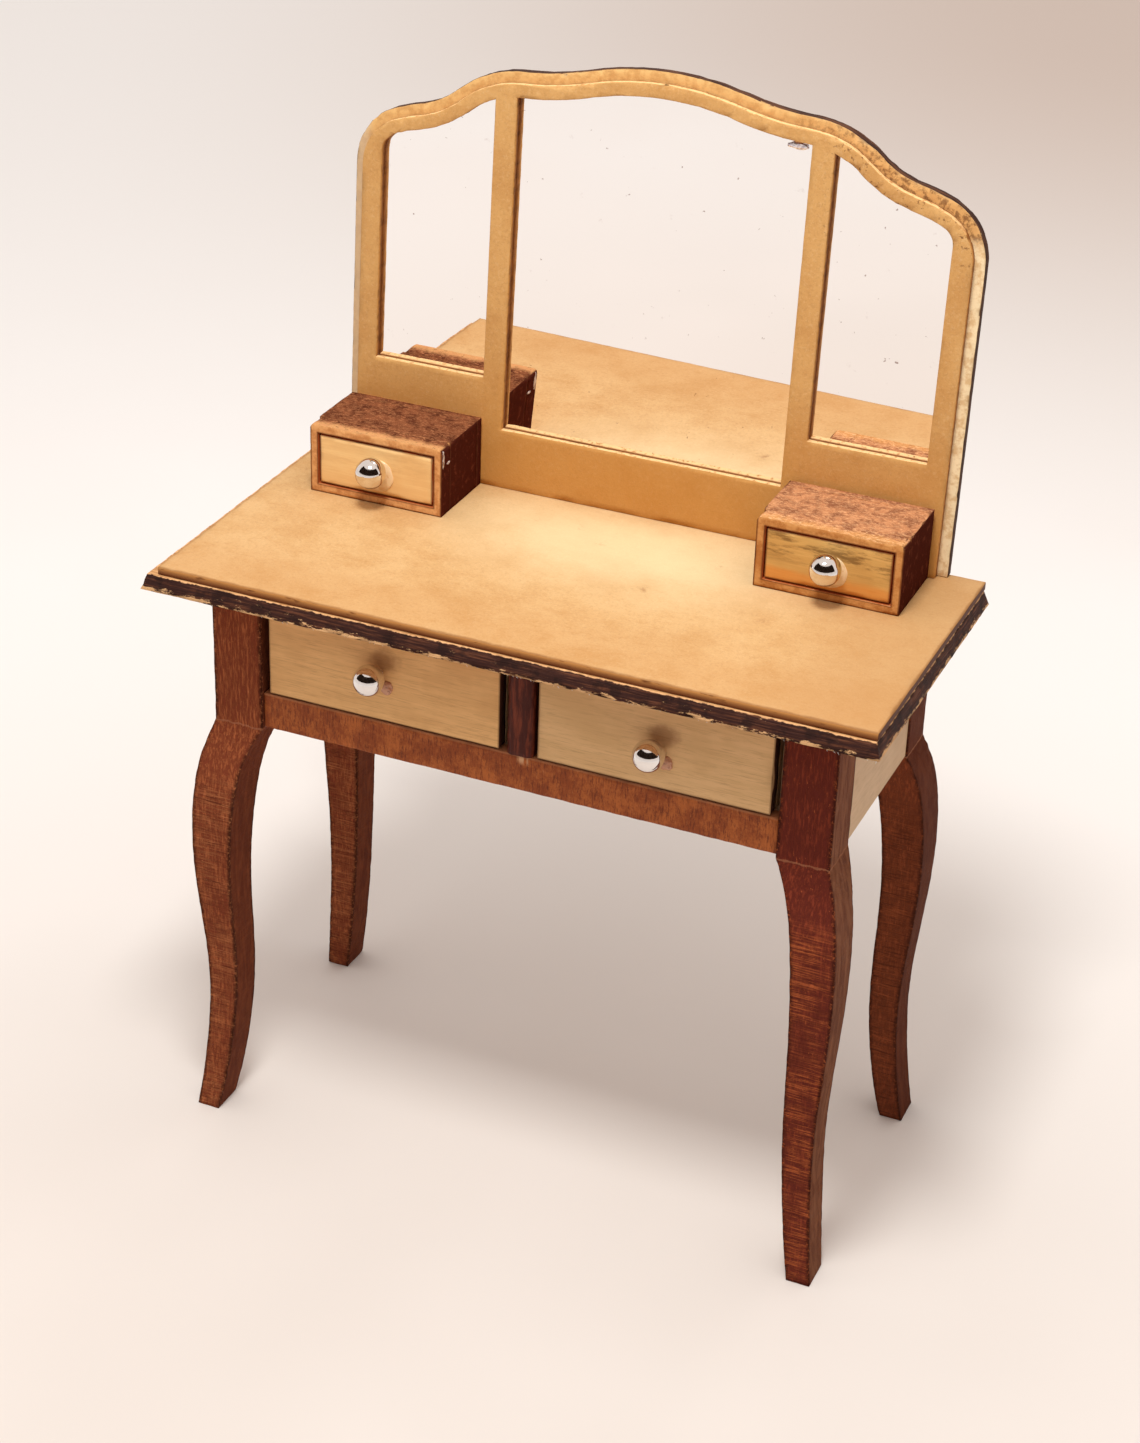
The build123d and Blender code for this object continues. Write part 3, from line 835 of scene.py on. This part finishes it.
def case_finish(side, lid_tones, ring_tones, scratch):
    """Stained wood: mottled top, a paler ring round the drawer, dark flanks, scorched slot."""
    low, high = box_in_mm(f"case_{side}_front")[0], box_in_mm(f"case_{side}_back")[1]
    made, tree, shader, place = new_finish(f"case_stain_{side}", 0.6, 0.0)
    x, y, z = parts(tree, place)
    facing = facing_of(tree)
    mottled = band(tree, cloud(tree, place, 1.6, 6.0, 0.75), 0.40, 0.62)
    fine = cloud(tree, stretched(tree, place, (0.5, 1.0, 1.0), turn=(0, 0, 0.5)), 0.16, 4.0, 0.75)
    lid = coat(tree, *lid_tones, mottled)
    lid = coat(tree, lid, scratch, band(tree, fine, 0.56, 0.68), 0.6)
    lid = coat(tree, lid, lid_tones[1], band(tree, fine, 0.44, 0.34), 0.6)
    wear_and_light = plus(tree, y, wander(tree, place, 1.0, 4.0, 1.6))
    lid = coat(tree, lid, ring_tones[0], band(tree, wear_and_light, low.y + 1.5, low.y + 0.3), 0.7)
    scuffs = cloud(
        tree, stretched(tree, place, (0.30, 1.0, 1.0), turn=(0, 0, -0.15)), 0.13, 4.0, 0.75
    )
    near_front = plus(tree, 0.42, times(tree, band(tree, wear_and_light, low.y + 2.6, low.y + 0.4), 0.5))
    lid = coat(tree, lid, scratch, times(tree, band(tree, scuffs, 0.52, 0.60), near_front))
    lid = coat(tree, lid, lid_tones[1], times(tree, band(tree, scuffs, 0.42, 0.34), near_front))
    ring = coat(tree, *ring_tones, mottled)
    off_middle = size_of(tree, minus(tree, x, (low.x + high.x) / 2))
    half = (high.x - low.x) / 2
    outline = most(
        tree, band(tree, off_middle, half - 0.24, half - 0.08),
        band(tree, z, low.z + 0.22, low.z + 0.06),
    )
    slot_start, slot_full = 0.66, 0.84
    slot_height = times(
        tree, band(tree, z, low.z + slot_start, low.z + slot_full),
        band(tree, z, high.z - slot_start, high.z - slot_full),
    )
    slot = times(tree, band(tree, off_middle, half - slot_start, half - slot_full), slot_height)
    ring = coat(tree, ring, srgb(104, 52, 30), most(tree, outline, slot), 0.8)
    flank_marks = band(tree, cloud(tree, place, 0.8, 4.0, 0.65), 0.52, 0.72)
    flank = coat(tree, srgb(76, 33, 23), srgb(104, 52, 36), flank_marks)
    tone = coat(tree, ring, lid, band(tree, facing[2], 0.35, 0.8))
    tone = coat(tree, tone, flank, band(tree, size_of(tree, facing[0]), 0.45, 0.85))
    inside = times(
        tree, band(tree, off_middle, half - 0.3, half - 0.6),
        band(tree, z, high.z - 0.3, high.z - 0.6),
    )
    inside = times(tree, inside, band(tree, size_of(tree, facing[1]), 0.8, 0.5))
    tone = coat(tree, tone, scorched_slot, inside)
    colour(tree, shader, tone)
    relief(tree, shader, cloud(tree, place, 0.28, 5.0, 0.65), 0.00010, 0.8)
    return made


case_stains = {
    "left": case_finish(
        "left", lid_tones=(srgb(126, 73, 47), srgb(88, 46, 30)),
        ring_tones=(srgb(232, 172, 112), srgb(202, 136, 82)), scratch=srgb(200, 134, 90),
    ),
    "right": case_finish(
        "right", lid_tones=(srgb(194, 132, 90), srgb(136, 84, 58)),
        ring_tones=(srgb(214, 152, 90), srgb(186, 120, 64)), scratch=srgb(238, 184, 134),
    ),
}
small_box_wood = birch("small_drawer_box_wood", *box_tones, "y")[0]
small_fronts = {
    "left": (
        srgb(250, 208, 144), srgb(236, 186, 122), srgb(204, 152, 98), 0.2, srgb(240, 190, 126),
    ),
    "right": (
        srgb(224, 176, 104), srgb(200, 150, 82), srgb(118, 82, 42), 0.75, srgb(226, 136, 54),
    ),
}
for side in ("left", "right"):
    for part in ("front", "body", "back"):
        worn_piece(
            f"{side}_case_{part}", f"case_{side}_{part}", case_stains[side], "table", "case_wood",
            easing=0.00006, spacing=(0.0004, 0.0004, 0.0004), chips=0.00010, dents=0.00002,
            grit=0.0009,
        )
    light, deep, stain, stain_share, foot_tone = small_fronts[side]
    low, high = box_in_mm(f"small_drawer_{side}_front")
    made, tree, shader, place, tone = birch(f"small_front_{side}", light, deep, deep, "x")
    z = parts(tree, place)[2]
    spots = cloud(tree, stretched(tree, place, (0.22, 1.0, 1.25)), 1.0, 6.0, 0.75)
    spotted = band(tree, spots, 0.44, 0.62)
    upper = band(tree, z, low.z + 1.6, low.z + 3.0)
    tone = coat(tree, tone, stain, times(tree, spotted, upper), stain_share)
    uneven = times(tree, cloud(tree, stretched(tree, place, (0.4, 1.0, 1.0)), 1.5, 3.0), 1.2)
    foot = band(tree, plus(tree, z, uneven), low.z + 2.3, low.z + 1.4)
    tone = coat(tree, tone, foot_tone, foot, 0.6)
    rim = rim_of(tree, place, low, high, (0.20, 0.04), (0.20, 0.04))
    tone = coat(tree, tone, srgb(120, 66, 34), rim, 0.7)
    tone = coat(tree, tone, scorched_slot, band(tree, size_of(tree, facing_of(tree)[1]), 0.7, 0.4))
    colour(tree, shader, tone)
    worn_piece(
        f"{side}_small_drawer_front", f"small_drawer_{side}_front", made, f"small_drawer_{side}",
        "small_front_wood",
        easing=0.00010, spacing=(0.0005, 0.0005, 0.0005), chips=0.00006, dents=0.00002, grit=0.0010,
    )
    dress(small_box_wood, *(f"small_drawer_{side}_{panel}" for panel in box_panels))

# Two short runs of clear glue dried near the left case's front right corner
low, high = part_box("case_left_front")
dried_glue, tree, shader, place = new_finish("dried_glue", 0.12, 0.5)
cloudy = band(tree, cloud(tree, place, 0.4, 3.0), 0.45, 0.6)
colour(tree, shader, coat(tree, srgb(214, 196, 186), srgb(150, 120, 108), cloudy))
sunk = 0.00004
for index, (backward, drop, size) in enumerate((
    (0.0004, 0.0012, (0.00012, 0.00022, 0.0009)), (0.0015, 0.0019, (0.00010, 0.0004, 0.00016)),
)):
    middle = Vector((high.x - sunk, low.y + backward, high.z - drop))
    mesh = glue_bead(f"case_glue_{index}", middle, size, index)
    new_piece(f"left_case_glue_run_{index + 1}", mesh, dried_glue, "table", "case_wood")


# ---- Mirror ----
# A scalloped card frame with three windows, glued over a mirror sheet let into a thicker dark
# edged back board, standing on the tabletop and leaning back a little.

frame_low, frame_high = box_in_mm("mirror_frame")
back_top = box_in_mm("mirror_back")[1].z
mirror_middle = (frame_low.x + frame_high.x) / 2

frame_card, tree, shader, place = new_finish("mirror_frame_card", 0.62)
x, _, z = parts(tree, place)
facing = facing_of(tree)
base = kraft_face(tree, place, srgb(212, 162, 100), srgb(194, 140, 80), srgb(136, 88, 46))
low_down = band(tree, z, frame_low.z + 16.0, frame_low.z + 2.0)
base = coat(tree, base, srgb(200, 132, 54), low_down, 0.6)
right_of = minus(tree, x, mirror_middle)
shoulder_level = band(tree, z, frame_high.z - 14.0, frame_high.z - 10.5)
shoulder = times(tree, band(tree, right_of, 15.5, 18.0), shoulder_level)
pits = band(tree, cloud(tree, place, 0.45, 4.0, 0.7), 0.58, 0.66)
base = coat(tree, base, srgb(104, 60, 34), times(tree, pits, shoulder), 0.8)

# The sides of the frame and of its windows, by their depth behind its front
wall = band(tree, facing[1], -0.75, -0.45)
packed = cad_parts["mirror_frame"].data
forward_faces = [face for face in packed.polygons if face.normal.y < 0]
backward = -max(forward_faces, key=lambda face: face.area).normal
front_depth = min(vert.co.dot(backward) for vert in packed.vertices) * to_mm
along = node(tree, "ShaderNodeVectorMath", {"operation": "DOT_PRODUCT"}, n0=place, n1=backward)
depth = minus(tree, along.outputs["Value"], front_depth)
burn = coat(tree, srgb(208, 148, 80), srgb(150, 90, 40), band(tree, depth, 0.10, 0.60))
burn = coat(
    tree, burn, srgb(64, 32, 18), band(tree, cloud(tree, place, 0.7, 4.0), 0.45, 0.66), 0.35
)
base = coat(tree, base, burn, wall)
# Walls facing up, such as the window ledges and the top edge, are painted pale: partly sanded wood,
# partly a painted highlight from the light above
upward = times(tree, wall, band(tree, facing[2], 0.45, 0.8))
rough_spots = band(tree, cloud(tree, place, 0.5, 4.0, 0.7), 0.50, 0.66)
lit_edge = coat(tree, srgb(240, 196, 138), srgb(190, 132, 76), rough_spots)
lit_edge = coat(tree, lit_edge, srgb(150, 92, 44), band(tree, depth, 0.45, 0.72))
base = coat(tree, base, lit_edge, upward)
colour(tree, shader, base)
relief(tree, shader, cloud(tree, place, 0.20, 5.0, 0.6), 0.00004, 0.7)
worn_piece(
    "mirror_card_frame", "mirror_frame", frame_card, "table", "kraft_card",
    easing=0.00009, spacing=(0.0007, 0.0004, 0.0007), chips=0.00012, dents=0.00002, grit=0.0010,
)

back_board, tree, shader, place = new_finish("mirror_back_board", 0.68)
x, _, z = parts(tree, place)
facing = facing_of(tree)
run = stretched(tree, place, (1.0, 1.0, 0.025))
grain = band(tree, cloud(tree, run, 0.5, 5.0, 0.65), 0.36, 0.66)
ply = coat(tree, srgb(218, 180, 130), srgb(200, 158, 108), grain)
ply = coat(
    tree, ply, srgb(172, 128, 84), band(tree, cloud(tree, run, 0.10, 3.0, 0.7), 0.54, 0.70), 0.45
)
ply = coat(
    tree, ply, srgb(184, 140, 94), band(tree, cloud(tree, place, 9.0, 4.0, 0.6), 0.45, 0.7), 0.35
)
right_of = minus(tree, x, mirror_middle)
low_side = times(
    tree, band(tree, right_of, 28.0, 30.0), band(tree, z, back_top - 10.4, back_top - 11.8)
)
mottle = band(tree, cloud(tree, place, 0.9, 4.0, 0.65), 0.40, 0.64)
rough_side = band(tree, right_of, 8.0, 22.0)
tan_edge = coat(tree, srgb(224, 176, 112), srgb(198, 144, 84), mottle, 0.7)
scuffs = band(tree, cloud(tree, place, 0.6, 5.0, 0.7), 0.44, 0.62)
scuffed = coat(tree, srgb(214, 160, 98), srgb(116, 70, 38), scuffs)
tan_edge = coat(tree, tan_edge, scuffed, rough_side, 0.8)
tan_edge = coat(tree, tan_edge, srgb(202, 178, 150), band(tree, right_of, -30.0, -31.2), 0.6)
margin = coat(
    tree, tan_edge, coat(tree, srgb(248, 222, 178), srgb(222, 184, 134), mottle), low_side
)
base = coat(tree, ply, margin, band(tree, facing[1], -0.6, -0.9))
wall = band(tree, size_of(tree, facing[1]), 0.85, 0.5)
layers = band(tree, cloud(tree, stretched(tree, place, (0.3, 3.0, 0.3)), 1.0, 4.0), 0.42, 0.62)
base = coat(tree, base, coat(tree, srgb(52, 28, 20), srgb(92, 56, 36), layers), wall)
colour(tree, shader, base)
relief(tree, shader, cloud(tree, place, 0.3, 5.0), 0.00006, 0.7)
worn_piece(
    "mirror_back_board", "mirror_back", back_board, "table", "dark_edged_ply",
    easing=0.00010, spacing=(0.0008, 0.0005, 0.0008), chips=0.00012, dents=0.00003, grit=0.0010,
)

silvered, tree, shader, place = new_finish("silvered_sheet", 0.012, metallic=1.0)
smear = band(tree, cloud(tree, place, 1.6, 4.0, 0.65), 0.67, 0.80)
clean = coat(tree, (0.97, 0.95, 0.94, 1), srgb(206, 192, 188), smear, 0.45)
specks = band(tree, cloud(tree, place, 0.7, 3.0, 0.6), 0.71, 0.75)
colour(tree, shader, coat(tree, clean, srgb(150, 122, 112), specks, 0.8))

# The sheet is let in a little out of true with its frame, and bows. Only its normals say so: the
# silvered face looks this far up the slope (pitch) and to the right (yaw), from the foot of the
# middle on, with so much more or less for each millimetre to the right and upwards
pitch_start, pitch_rightward, pitch_upward = -0.094, 0.00026, 0.00036
yaw_start, yaw_rightward, yaw_upward = 0.0055, 0.00021, -0.00164
mesh = poured(cleaned("mirror_glass"), bpy.data.meshes.new("silvered_sheet"))
mesh = rubbed(mesh, spacing=(0.002, 0.01, 0.002), chips=0, dents=0, grit=1)
front_faces = [face for face in mesh.polygons if face.normal.y < -0.9]
square = max(front_faces, key=lambda face: face.area).normal.copy()
rightward = Vector((1, 0, 0))
uphill = rightward.cross(square).normalized()
uphill = uphill if uphill.z > 0 else -uphill
looks = [Vector(corner.vector) for corner in mesh.corner_normals]
for face in front_faces:
    for loop in face.loop_indices:
        point = mesh.vertices[mesh.loops[loop].vertex_index].co * to_mm
        across, up = point.x - mirror_middle, point.z - frame_low.z
        pitch = pitch_start + pitch_rightward * across + pitch_upward * up
        yaw = yaw_start + yaw_rightward * across + yaw_upward * up
        looks[loop] = (square + uphill * pitch + rightward * yaw).normalized()
mesh.normals_split_custom_set(looks)
new_piece("mirror_silvered_sheet", mesh, silvered, "table", "mirror", "mirror_glass")

# Glue squeezed out on the sheet's own front plane, at the middle window's upper right corner
sheet_glue, tree, shader, place = new_finish("sheet_glue", 0.28, metallic=0.85)
cloudy = band(tree, cloud(tree, place, 0.3, 3.0), 0.45, 0.6)
colour(tree, shader, coat(tree, srgb(244, 238, 240), srgb(206, 196, 204), cloudy))
squeeze = Vector((mirror_middle + 13.2, 0, frame_high.z - 3.86)) / to_mm
on_sheet = max(front_faces, key=lambda face: face.area).center
squeeze.y = square.dot(on_sheet - squeeze) / square.y
mesh = glue_bead("mirror_glue", squeeze, (0.0010, 0.00012, 0.00034), 4.0)
new_piece("mirror_glue_squeeze", mesh, sheet_glue, "table", "mirror")
